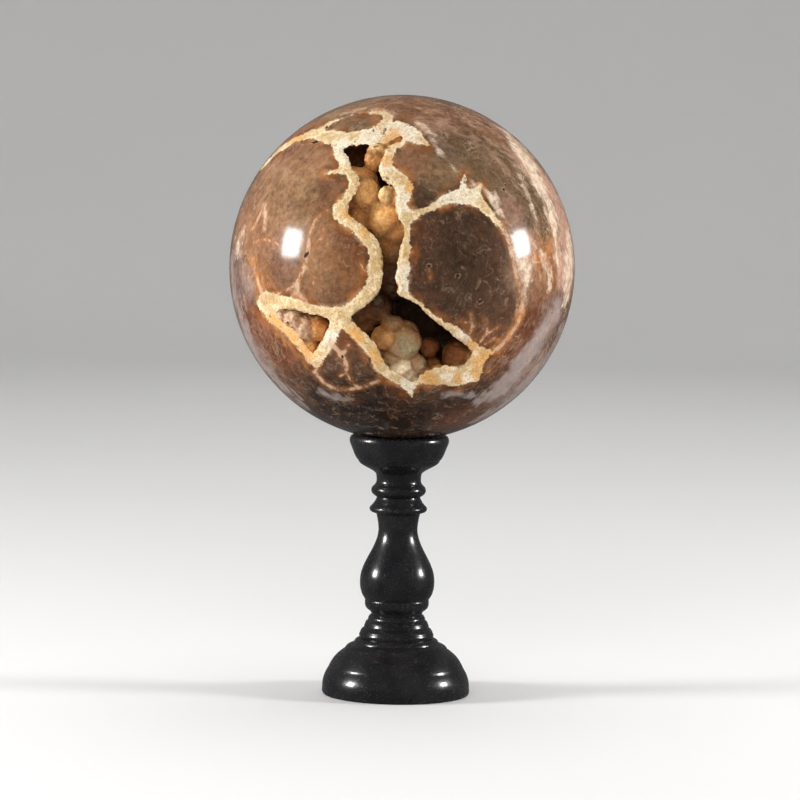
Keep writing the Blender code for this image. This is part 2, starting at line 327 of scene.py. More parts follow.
# What follows is drawn on the ball's face as (across, up) in shares of the ball's radius.
MAIN_MOUTH = (
    (-0.345, 0.650), (-0.325, 0.680), (-0.295, 0.690), (-0.265, 0.680), (-0.220, 0.692),
    (-0.190, 0.684), (-0.150, 0.700), (-0.110, 0.704), (-0.065, 0.722), (-0.040, 0.742),
    (-0.005, 0.730), (-0.028, 0.702), (-0.062, 0.688), (-0.100, 0.668), (-0.112, 0.640),
    (-0.122, 0.600), (-0.140, 0.562), (-0.135, 0.530), (-0.118, 0.500), (-0.092, 0.470),
    (-0.052, 0.452), (-0.032, 0.425), (-0.040, 0.370), (-0.035, 0.310), (-0.010, 0.252),
    (0.008, 0.225), (0.014, 0.190), (0.004, 0.140), (-0.012, 0.095), (-0.022, 0.045),
    (-0.028, 0.000), (-0.042, -0.045), (-0.030, -0.085), (-0.018, -0.108), (-0.030, -0.135),
    (-0.008, -0.158), (0.040, -0.176), (0.090, -0.198), (0.125, -0.236), (0.170, -0.276),
    (0.225, -0.316), (0.280, -0.354), (0.330, -0.398), (0.372, -0.430), (0.402, -0.466),
    (0.392, -0.500), (0.372, -0.526), (0.320, -0.548), (0.270, -0.540), (0.205, -0.552),
    (0.160, -0.568), (0.115, -0.598), (0.088, -0.630), (0.070, -0.646), (0.040, -0.632),
    (0.000, -0.606), (-0.045, -0.578), (-0.080, -0.548), (-0.100, -0.510), (-0.116, -0.468),
    (-0.142, -0.428), (-0.170, -0.396), (-0.205, -0.366), (-0.240, -0.330), (-0.268, -0.300),
    (-0.286, -0.272), (-0.250, -0.248), (-0.218, -0.222), (-0.182, -0.194), (-0.148, -0.164),
    (-0.126, -0.128), (-0.114, -0.085), (-0.105, -0.035), (-0.104, 0.040), (-0.115, 0.095),
    (-0.136, 0.148), (-0.172, 0.190), (-0.215, 0.220), (-0.262, 0.258), (-0.305, 0.290),
    (-0.304, 0.335), (-0.298, 0.372), (-0.276, 0.402), (-0.250, 0.432), (-0.240, 0.468),
    (-0.244, 0.500), (-0.262, 0.530), (-0.290, 0.560), (-0.304, 0.595), (-0.318, 0.622),
)
SIDE_MOUTH = (
    (-0.712, -0.260), (-0.655, -0.244), (-0.600, -0.238), (-0.550, -0.250), (-0.500, -0.268),
    (-0.450, -0.274), (-0.400, -0.284), (-0.388, -0.306), (-0.402, -0.348), (-0.428, -0.398),
    (-0.452, -0.432), (-0.470, -0.472), (-0.494, -0.488), (-0.520, -0.468), (-0.542, -0.430),
    (-0.580, -0.390), (-0.622, -0.358), (-0.672, -0.328), (-0.715, -0.296),
)
MOUTH_DEPTH = 0.2  # how far a mouth goes straight in under the surface

# The hollow behind the mouths: (across, up, depth of the centre under the surface), half sizes.
CHAMBERS = (
    ((-0.200, 0.600, 0.180), (0.150, 0.120, 0.140)),
    ((-0.140, 0.380, 0.230), (0.165, 0.200, 0.160)),
    ((-0.070, 0.050, 0.260), (0.150, 0.260, 0.190)),
    ((0.020, -0.340, 0.270), (0.260, 0.210, 0.200)),
    ((0.230, -0.420, 0.230), (0.180, 0.130, 0.170)),
    ((-0.500, -0.330, 0.140), (0.140, 0.085, 0.108)),
)
# The colours of the crystal that has grown in the hollow. BRICK and UMBER, given to the deepest
# knobs and walls, are partly painted shade.
CREAM = (0.98, 0.86, 0.58)
GLOW = (1.00, 0.69, 0.29)
PALE = (0.33, 0.260, 0.140)
LICHEN = (0.21, 0.145, 0.075)
HONEY = (0.90, 0.48, 0.16)
AMBER = (0.64, 0.30, 0.095)
RUSSET = (0.40, 0.165, 0.050)
# partly painted shade, for the deepest knobs and walls of the hollow
BRICK = (0.22, 0.066, 0.016)
UMBER = (0.085, 0.034, 0.013)
BLUSH = (0.72, 0.52, 0.37)
# The knobs in the hollow: (across, up, depth of the centre), radius, colour.
KNOBS = (
    ((-0.262, 0.430, 0.185), 0.122, AMBER), ((-0.215, 0.415, 0.135), 0.082, HONEY),
    ((-0.270, 0.500, 0.150), 0.060, AMBER), ((-0.086, 0.404, 0.075), 0.049, GLOW),
    ((-0.048, 0.398, 0.080), 0.045, HONEY), ((-0.151, 0.648, 0.075), 0.050, GLOW),
    ((-0.165, 0.600, 0.110), 0.058, AMBER), ((-0.118, 0.698, 0.060), 0.050, HONEY),
    ((-0.065, 0.720, 0.055), 0.045, AMBER), ((-0.015, 0.745, 0.060), 0.035, RUSSET),
    ((-0.085, 0.268, 0.200), 0.108, HONEY), ((-0.030, 0.215, 0.220), 0.100, AMBER),
    ((-0.155, 0.290, 0.230), 0.085, AMBER), ((-0.240, 0.255, 0.200), 0.075, RUSSET),
    ((-0.055, 0.130, 0.265), 0.105, RUSSET), ((-0.125, 0.110, 0.310), 0.090, RUSSET),
    ((-0.060, 0.010, 0.360), 0.105, BRICK), ((-0.075, -0.090, 0.400), 0.090, UMBER),
    ((-0.150, -0.225, 0.270), 0.090, UMBER), ((-0.235, -0.265, 0.250), 0.080, UMBER),
    ((-0.210, -0.330, 0.230), 0.060, UMBER), ((-0.100, -0.390, 0.130), 0.061, AMBER),
    ((-0.084, -0.388, 0.105), 0.046, HONEY), ((-0.046, -0.330, 0.190), 0.062, LICHEN),
    ((0.012, -0.412, 0.170), 0.094, PALE), ((0.030, -0.370, 0.200), 0.070, PALE),
    ((-0.114, -0.478, 0.180), 0.066, LICHEN), ((0.089, -0.535, 0.130), 0.056, PALE),
    ((-0.040, -0.505, 0.130), 0.060, PALE), ((-0.006, -0.556, 0.095), 0.066, CREAM),
    ((0.030, -0.598, 0.070), 0.050, CREAM), ((0.058, -0.622, 0.056), 0.040, CREAM),
    ((0.158, -0.447, 0.255), 0.056, BRICK), ((0.175, -0.545, 0.240), 0.048, BRICK),
    ((0.322, -0.484, 0.215), 0.084, BRICK), ((0.400, -0.500, 0.120), 0.048, AMBER),
    ((0.150, -0.606, 0.085), 0.046, HONEY), ((0.208, -0.594, 0.080), 0.050, HONEY),
    ((0.262, -0.592, 0.085), 0.046, RUSSET), ((0.318, -0.594, 0.085), 0.048, CREAM),
    ((0.372, -0.576, 0.085), 0.048, AMBER), ((0.408, -0.540, 0.085), 0.044, HONEY),
    ((-0.660, -0.300, 0.085), 0.066, BLUSH), ((-0.600, -0.318, 0.110), 0.082, BLUSH),
    ((-0.540, -0.345, 0.130), 0.084, BLUSH), ((-0.470, -0.345, 0.150), 0.070, AMBER),
    ((-0.640, -0.350, 0.075), 0.050, HONEY), ((-0.585, -0.395, 0.085), 0.066, HONEY),
    ((-0.530, -0.445, 0.080), 0.060, HONEY), ((-0.700, -0.300, 0.065), 0.046, CREAM),
)


MOUTH_BLOCK = 1.1  # where a mouth's block starts, outside the ball
HOLLOW_FACET = 0.55  # in mm
GROWTH = 1.12  # how far the knobs have grown into each other
SMOOTHINGS = 5
# The sizes of the relief on the hollow's skin, in mm.
CRYSTAL = 1.9
LOBE = 6.5
SWELL = 5.0
SUGAR = 0.95
FINE_FROM = 0.05  # the ball's face is finely faceted from this far in front of its middle


def surface_out(across, up):
    """How far the ball's surface stands out at this place of its face."""
    return math.sqrt(max(0.0, 1.0 - across * across - up * up))


def round_form(form, place, sizes, fineness):
    """Adds a round form at a depth under the ball's face."""
    across, up, depth = place
    made = bmesh.ops.create_icosphere(form, subdivisions=fineness, radius=1.0)["verts"]
    bmesh.ops.scale(form, vec=sizes, verts=made)
    bmesh.ops.translate(form, vec=(across, up, surface_out(across, up) - depth), verts=made)


def mouth_form(form, outline):
    """Adds a block with the mouth's outline that goes straight in through the ball's face."""
    rim = [form.verts.new((across, up, MOUTH_BLOCK)) for across, up in outline]
    flat = bmesh.ops.triangulate(form, faces=[form.faces.new(rim)],
                                 ngon_method="BEAUTY")["faces"]
    inner = bmesh.ops.extrude_face_region(form, geom=flat, use_keep_orig=True)["geom"]
    for point in inner:
        if isinstance(point, bmesh.types.BMVert):
            point.co.z = surface_out(point.co.x, point.co.y) - MOUTH_DEPTH
    bmesh.ops.recalc_face_normals(form, faces=form.faces)


def settled(piece):
    """Makes the piece's modifiers permanent."""
    graph = bpy.context.evaluated_depsgraph_get()
    mesh = bpy.data.meshes.new_from_object(piece.evaluated_get(graph))
    piece.modifiers.clear()
    worn_out = piece.data
    piece.data = mesh
    bpy.data.meshes.remove(worn_out)
    return piece


def fused(piece, size):
    """Melts overlapping forms into one skin of facets this many mm across."""
    melt = piece.modifiers.new("fused", "REMESH")
    melt.mode = "VOXEL"
    melt.voxel_size = size / 1000
    return settled(piece)


def cut_by(piece, tool):
    """Takes the tool's form out of the piece, and the tool out of the scene."""
    cut = piece.modifiers.new("cut", "BOOLEAN")
    cut.operation = "DIFFERENCE"
    cut.solver = "MANIFOLD"
    cut.object = tool
    settled(piece)
    bpy.data.objects.remove(tool)
    return piece


@contextmanager
def edited(mesh):
    """Opens a mesh for work on its points and faces, and writes it back at the end."""
    form = bmesh.new()
    form.from_mesh(mesh)
    yield form
    form.to_mesh(mesh)
    form.free()


def hollow():
    """The hollow's shape: mouths and chambers, less the knobs, with a crystal-rough skin."""
    form = bmesh.new()
    mouth_form(form, MAIN_MOUTH)
    mouth_form(form, SIDE_MOUTH)
    for place, sizes in CHAMBERS:
        round_form(form, place, sizes, 4)
    bmesh.ops.transform(form, matrix=FACE, verts=form.verts)
    space = fused(loose_piece("hollow", form), HOLLOW_FACET)
    form = bmesh.new()
    for place, size, tint in KNOBS:
        size *= GROWTH
        round_form(form, place, (size, size, size), 4)
    bmesh.ops.transform(form, matrix=FACE, verts=form.verts)
    space = cut_by(space, fused(loose_piece("knobs", form), HOLLOW_FACET))
    space = fused(space, HOLLOW_FACET)
    roughen(space.data)
    return space


def roughen(mesh):
    """Moves each point of the hollow's skin in or out as crystal growth would."""
    with edited(mesh) as form:
        for _ in range(SMOOTHINGS):
            bmesh.ops.smooth_vert(form, verts=form.verts, factor=0.5, use_axis_x=True,
                                  use_axis_y=True, use_axis_z=True)
        form.normal_update()
        for point in form.verts:
            place = point.co * 1000
            under = (BALL_RADIUS - (point.co - BALL_CENTRE).length) * 1000
            # the crystals stand out most near the ball's surface
            edge = 0.45 + 0.9 * max(0.0, min(1.0, (4.0 - under) / 2.5))
            grain = noise.voronoi(place / CRYSTAL)[0][0]
            lobe = noise.voronoi(place / LOBE)[0][0]
            move = (0.35 * noise.noise(place / SWELL) + edge * (grain * grain - 0.25)
                    + 0.9 * (lobe * lobe - 0.25)
                    + 0.16 * noise.noise(place / SUGAR))
            point.co += point.normal * (move / 1000)


def whole_ball():
    """The ball before it was opened, finer on its face."""
    form = bmesh.new()
    bmesh.ops.create_icosphere(form, subdivisions=6, radius=1.0)
    fine = [edge for edge in form.edges if min(point.co.z for point in edge.verts) > FINE_FROM]
    bmesh.ops.subdivide_edges(form, edges=fine, cuts=1, use_grid_fill=True)
    bmesh.ops.triangulate(form, faces=[face for face in form.faces if len(face.verts) > 3])
    for point in form.verts:
        point.co.normalize()
    bmesh.ops.transform(form, matrix=FACE, verts=form.verts)
    return loose_piece("polished_mineral_ball", form)


# The strokes and patches below are drawn on the ball's face too, as (across, up, half width).
# The first are the cream crystal rims round the nodules.
RIMS = (
    # round the left nodule, and on along the top of the side mouth
    ((-0.350, 0.300, 0.040), (-0.300, 0.250, 0.034), (-0.245, 0.212, 0.036),
     (-0.200, 0.170, 0.036), (-0.162, 0.115, 0.036), (-0.140, 0.050, 0.036),
     (-0.150, -0.005, 0.045), (-0.150, -0.055, 0.042), (-0.165, -0.115, 0.040),
     (-0.215, -0.175, 0.036), (-0.270, -0.220, 0.034), (-0.330, -0.255, 0.036),
     (-0.395, -0.255, 0.036), (-0.450, -0.245, 0.030), (-0.520, -0.225, 0.027),
     (-0.580, -0.212, 0.027), (-0.650, -0.205, 0.034), (-0.715, -0.190, 0.040),
     (-0.760, -0.185, 0.045), (-0.785, -0.210, 0.030)),
    # up the left side of the main mouth
    ((-0.345, 0.320, 0.045), (-0.325, 0.370, 0.028), (-0.285, 0.420, 0.028),
     (-0.268, 0.458, 0.030), (-0.268, 0.490, 0.030), (-0.290, 0.530, 0.034),
     (-0.325, 0.560, 0.032), (-0.338, 0.600, 0.026), (-0.365, 0.645, 0.032),
     (-0.370, 0.700, 0.040)),
    ((-0.330, 0.535, 0.024), (-0.380, 0.527, 0.016), (-0.430, 0.520, 0.008)),
    # over the top
    ((-0.820, 0.555, 0.004), (-0.720, 0.655, 0.009), (-0.620, 0.722, 0.016),
     (-0.520, 0.752, 0.030), (-0.440, 0.735, 0.042), (-0.360, 0.728, 0.040),
     (-0.280, 0.735, 0.030), (-0.200, 0.748, 0.032), (-0.120, 0.775, 0.042),
     (-0.040, 0.775, 0.046), (0.030, 0.755, 0.046), (0.085, 0.722, 0.034),
     (0.135, 0.690, 0.012)),
    ((-0.470, 0.770, 0.016), (-0.420, 0.815, 0.010), (-0.340, 0.850, 0.004),
     (-0.240, 0.875, 0.003), (-0.140, 0.880, 0.012), (-0.095, 0.850, 0.028),
     (-0.105, 0.800, 0.035)),
    ((-0.230, 0.712, 0.016), (-0.150, 0.722, 0.022), (-0.080, 0.742, 0.022),
     (-0.010, 0.757, 0.020)),
    ((-0.745, -0.235, 0.032), (-0.700, -0.258, 0.016)),
    ((0.385, -0.535, 0.020), (0.425, -0.495, 0.026)),
    # down the right side
    ((-0.030, 0.705, 0.030), (-0.078, 0.660, 0.030), (-0.095, 0.615, 0.028),
     (-0.093, 0.568, 0.034), (-0.065, 0.525, 0.038), (-0.022, 0.490, 0.042),
     (0.008, 0.445, 0.046), (0.000, 0.400, 0.038), (-0.015, 0.360, 0.030),
     (0.000, 0.310, 0.030), (0.018, 0.270, 0.026), (0.022, 0.228, 0.016),
     (0.020, 0.190, 0.012), (0.024, 0.150, 0.018), (0.022, 0.100, 0.030),
     (0.010, 0.050, 0.032), (0.010, 0.000, 0.040), (-0.002, -0.050, 0.038),
     (0.003, -0.100, 0.034), (0.012, -0.148, 0.022), (0.040, -0.178, 0.008)),
    # the branch that runs out between the two right nodules
    ((0.010, 0.300, 0.030), (0.055, 0.290, 0.030), (0.105, 0.315, 0.022),
     (0.160, 0.335, 0.018), (0.210, 0.372, 0.024), (0.270, 0.398, 0.034),
     (0.335, 0.410, 0.046), (0.400, 0.392, 0.040), (0.450, 0.345, 0.028),
     (0.500, 0.290, 0.018), (0.560, 0.225, 0.010), (0.600, 0.150, 0.007)),
    ((0.325, 0.430, 0.030), (0.335, 0.475, 0.016), (0.345, 0.530, 0.005)),
    ((0.390, 0.420, 0.022), (0.440, 0.475, 0.007)),
    # under the right nodule
    ((0.015, -0.166, 0.007), (0.090, -0.202, 0.006), (0.170, -0.270, 0.007),
     (0.225, -0.306, 0.012), (0.275, -0.330, 0.022), (0.330, -0.368, 0.024),
     (0.380, -0.408, 0.024), (0.425, -0.448, 0.026), (0.465, -0.468, 0.028),
     (0.510, -0.462, 0.016), (0.560, -0.425, 0.007)),
    ((0.470, -0.480, 0.030), (0.440, -0.520, 0.030), (0.425, -0.570, 0.026),
     (0.432, -0.620, 0.014)),
    # the lower lip
    ((0.095, -0.632, 0.012), (0.145, -0.612, 0.036), (0.200, -0.606, 0.046),
     (0.260, -0.608, 0.050), (0.320, -0.612, 0.048), (0.380, -0.596, 0.042),
     (0.425, -0.570, 0.034)),
    # along the lower left of the side mouth
    ((-0.785, -0.215, 0.028), (-0.752, -0.285, 0.014), (-0.700, -0.330, 0.012),
     (-0.632, -0.380, 0.018), (-0.565, -0.445, 0.020), (-0.505, -0.515, 0.028),
     (-0.470, -0.545, 0.020)),
    # round the small nodule at the lower left
    ((-0.340, -0.285, 0.045), (-0.362, -0.345, 0.030), (-0.385, -0.395, 0.030),
     (-0.415, -0.435, 0.032), (-0.443, -0.480, 0.036), (-0.458, -0.525, 0.026)),
    ((-0.315, -0.300, 0.040), (-0.275, -0.345, 0.036), (-0.235, -0.385, 0.034),
     (-0.188, -0.428, 0.034), (-0.150, -0.475, 0.034), (-0.130, -0.520, 0.034),
     (-0.105, -0.565, 0.032), (-0.055, -0.603, 0.026), (0.000, -0.637, 0.020),
     (0.050, -0.668, 0.022), (0.062, -0.720, 0.012)),
)
CLOSING = 0.012  # how softly a rim joins the crystal along a mouth
LIP = 0.015  # the least width of crystal along a mouth's edge
FADE_FROM = 0.12  # strokes start to fade this far in front of the ball's middle
FADE = 2.5  # and lose this much width for each share of the radius further back
LAYERED_FROM = 0.62  # the stone shows its layers from this far out on its face
LAYERED_OVER = 0.25  # and fully this much further
LAYERED_LOWEST = -0.78  # but not lower than this
KNOB_BLEND = 0.006  # how softly the colour of one knob goes over into the next
# Streaky bands: whitish ones and orange ones in the stone, and grey ones that are painted
# reflections near the edges of the ball's face.
WHITE_BANDS = (
    ((0.500, 0.840, 0.006), (0.585, 0.780, 0.016), (0.665, 0.675, 0.036), (0.730, 0.570, 0.040),
     (0.800, 0.430, 0.030), (0.850, 0.300, 0.026), (0.870, 0.150, 0.020), (0.885, 0.000, 0.006)),
    ((0.620, 0.600, 0.004), (0.680, 0.470, 0.014), (0.735, 0.330, 0.016), (0.760, 0.200, 0.006)),
    ((0.945, 0.240, 0.010), (0.958, 0.060, 0.034), (0.950, -0.090, 0.030), (0.930, -0.200, 0.008)),
    ((0.560, 0.250, 0.010), (0.620, 0.170, 0.020), (0.655, 0.110, 0.044), (0.690, 0.030, 0.052),
     (0.690, -0.060, 0.036), (0.685, -0.140, 0.020), (0.670, -0.220, 0.006)),
    ((0.720, 0.180, 0.006), (0.790, 0.090, 0.018), (0.830, -0.030, 0.016), (0.820, -0.120, 0.004)),
    ((0.420, 0.480, 0.010), (0.480, 0.420, 0.026), (0.550, 0.310, 0.024), (0.610, 0.200, 0.014)),
    ((0.060, 0.830, 0.008), (0.130, 0.770, 0.016), (0.200, 0.655, 0.012), (0.280, 0.560, 0.014),
     (0.350, 0.500, 0.018), (0.400, 0.450, 0.012)),
    ((-0.420, 0.850, 0.004), (-0.320, 0.882, 0.010), (-0.200, 0.902, 0.010), (-0.100, 0.890, 0.006)),
    ((-0.900, 0.220, 0.006), (-0.925, 0.140, 0.016), (-0.935, 0.050, 0.012)),
    ((-0.790, 0.340, 0.004), (-0.772, 0.285, 0.014), (-0.780, 0.205, 0.005)),
    ((-0.600, -0.090, 0.006), (-0.600, -0.150, 0.016), (-0.530, -0.190, 0.004)),
)
# grey painted reflections near the edges of the ball's face, drawn as streaky strokes
PAINTED_GREY_REFLECTIONS = (
    ((0.890, -0.180, 0.020), (0.860, -0.270, 0.040), (0.800, -0.345, 0.040),
     (0.730, -0.465, 0.046), (0.640, -0.590, 0.040), (0.540, -0.700, 0.044),
     (0.430, -0.760, 0.020)),
    ((0.930, -0.310, 0.016), (0.890, -0.440, 0.026), (0.760, -0.630, 0.036),
     (0.600, -0.790, 0.036), (0.420, -0.890, 0.020)),
    ((-0.985, 0.080, 0.006), (-0.950, -0.200, 0.026), (-0.885, -0.400, 0.030),
     (-0.800, -0.560, 0.030), (-0.660, -0.715, 0.028), (-0.530, -0.815, 0.012)),
    ((0.250, -0.710, 0.020), (0.350, -0.705, 0.026), (0.430, -0.715, 0.012)),
    ((-0.460, -0.700, 0.020), (-0.360, -0.745, 0.026), (-0.270, -0.750, 0.012)),
)
ORANGE_BANDS = (
    ((0.675, -0.180, 0.006), (0.668, -0.260, 0.022), (0.622, -0.340, 0.024),
     (0.568, -0.415, 0.022), (0.510, -0.460, 0.016)),
    ((-0.850, 0.060, 0.006), (-0.830, -0.040, 0.012), (-0.795, -0.130, 0.014),
     (-0.770, -0.190, 0.012)),
    ((-0.790, -0.270, 0.010), (-0.730, -0.345, 0.014), (-0.650, -0.415, 0.018),
     (-0.580, -0.490, 0.016), (-0.510, -0.550, 0.010)),
    ((0.440, -0.610, 0.014), (0.490, -0.560, 0.018), (0.520, -0.500, 0.010)),
    ((0.730, 0.060, 0.010), (0.800, 0.080, 0.016), (0.850, 0.180, 0.016), (0.840, 0.300, 0.006)),
)
# The thin healed cracks, pale with some rust in them.
CRACKS = (
    ((0.560, 0.225, 0.011), (0.600, 0.120, 0.011), (0.625, 0.020, 0.012), (0.645, -0.060, 0.010),
     (0.668, -0.140, 0.009), (0.680, -0.220, 0.009), (0.655, -0.300, 0.010),
     (0.590, -0.395, 0.012), (0.530, -0.455, 0.014)),
    ((-0.327, -0.496, 0.020), (-0.350, -0.465, 0.013), (-0.389, -0.431, 0.014)),
    ((-0.327, -0.496, 0.018), (-0.310, -0.465, 0.011), (-0.290, -0.432, 0.010)),
    ((-0.327, -0.496, 0.018), (-0.306, -0.526, 0.015), (-0.300, -0.573, 0.012),
     (-0.336, -0.609, 0.008)),
    ((-0.300, -0.573, 0.006), (-0.285, -0.625, 0.006), (-0.236, -0.672, 0.010)),
    ((-0.455, -0.545, 0.010), (-0.484, -0.590, 0.010), (-0.424, -0.660, 0.011),
     (-0.354, -0.690, 0.012), (-0.283, -0.686, 0.012), (-0.200, -0.668, 0.010),
     (-0.117, -0.632, 0.010)),
    ((-0.770, -0.200, 0.012), (-0.800, -0.120, 0.010), (-0.825, -0.040, 0.008),
     (-0.835, 0.020, 0.005)),
    ((-0.419, 0.316, 0.008), (-0.485, 0.263, 0.009), (-0.522, 0.175, 0.008),
     (-0.520, 0.090, 0.012), (-0.545, -0.003, 0.012), (-0.582, -0.096, 0.014),
     (-0.580, -0.150, 0.012), (-0.518, -0.205, 0.010)),
    ((-0.540, 0.000, 0.008), (-0.480, -0.060, 0.005), (-0.510, -0.130, 0.007)),
    ((-0.585, -0.100, 0.010), (-0.650, -0.140, 0.010), (-0.720, -0.165, 0.008)),
    ((-0.440, 0.215, 0.006), (-0.450, 0.160, 0.009), (-0.490, 0.120, 0.006)),
    ((-0.230, 0.020, 0.006), (-0.205, -0.030, 0.006), (-0.190, -0.020, 0.004)),
    ((0.359, -0.392, 0.008), (0.405, -0.315, 0.009), (0.382, -0.245, 0.007)),
    ((0.405, -0.315, 0.006), (0.330, -0.285, 0.006), (0.290, -0.300, 0.004)),
    ((0.550, -0.318, 0.005), (0.470, -0.365, 0.009), (0.440, -0.410, 0.008)),
    ((0.470, -0.365, 0.008), (0.480, -0.320, 0.007), (0.460, -0.270, 0.004)),
    ((0.560, -0.395, 0.004), (0.520, -0.385, 0.009), (0.470, -0.420, 0.006)),
    ((0.150, -0.005, 0.005), (0.157, -0.040, 0.004), (0.155, -0.065, 0.003)),
    ((-0.785, 0.345, 0.004), (-0.775, 0.285, 0.014), (-0.780, 0.220, 0.007)),
    ((-0.840, 0.130, 0.008), (-0.770, 0.150, 0.010), (-0.690, 0.120, 0.006)),
    ((-0.850, 0.200, 0.006), (-0.800, 0.300, 0.009), (-0.770, 0.350, 0.005)),
    ((0.700, 0.060, 0.010), (0.760, 0.040, 0.008), (0.840, 0.080, 0.006)),
)
# Small holes in the polished face: (across, up), half width, half height, lean.
PITS = (
    ((-0.532, 0.066), 0.010, 0.024, -0.5), ((-0.500, 0.702), 0.020, 0.008, 0.2),
    ((-0.440, 0.790), 0.010, 0.010, 0.0), ((-0.650, 0.245), 0.006, 0.006, 0.0),
    ((-0.622, 0.246), 0.006, 0.006, 0.0), ((-0.325, -0.500), 0.007, 0.012, 0.4),
    ((0.148, 0.012), 0.012, 0.012, 0.0), ((0.308, -0.040), 0.014, 0.010, 0.5),
    ((0.435, -0.180), 0.016, 0.010, 0.5), ((0.212, 0.732), 0.006, 0.006, 0.0),
    ((0.290, 0.722), 0.005, 0.005, 0.0), ((0.560, 0.450), 0.010, 0.010, 0.0),
    ((0.572, 0.478), 0.007, 0.007, 0.0), ((0.850, -0.240), 0.008, 0.006, 0.0),
    ((0.655, 0.120), 0.012, 0.007, 0.0), ((0.745, 0.040), 0.006, 0.005, 0.0),
    ((0.705, 0.055), 0.005, 0.005, 0.0), ((-0.170, 0.768), 0.008, 0.012, 0.4),
)
# Tongues of brown stone that reach into the rims.
NOTCHES = (
    ((0.048, 0.098, 0.006), (0.056, 0.070, 0.013), (0.050, 0.042, 0.012)),
    ((0.032, -0.052, 0.012), (0.068, -0.034, 0.014)),
    ((0.330, 0.345, 0.006), (0.390, 0.330, 0.014), (0.450, 0.290, 0.004)),
    ((-0.105, 0.785, 0.010), (-0.120, 0.760, 0.010)),
)
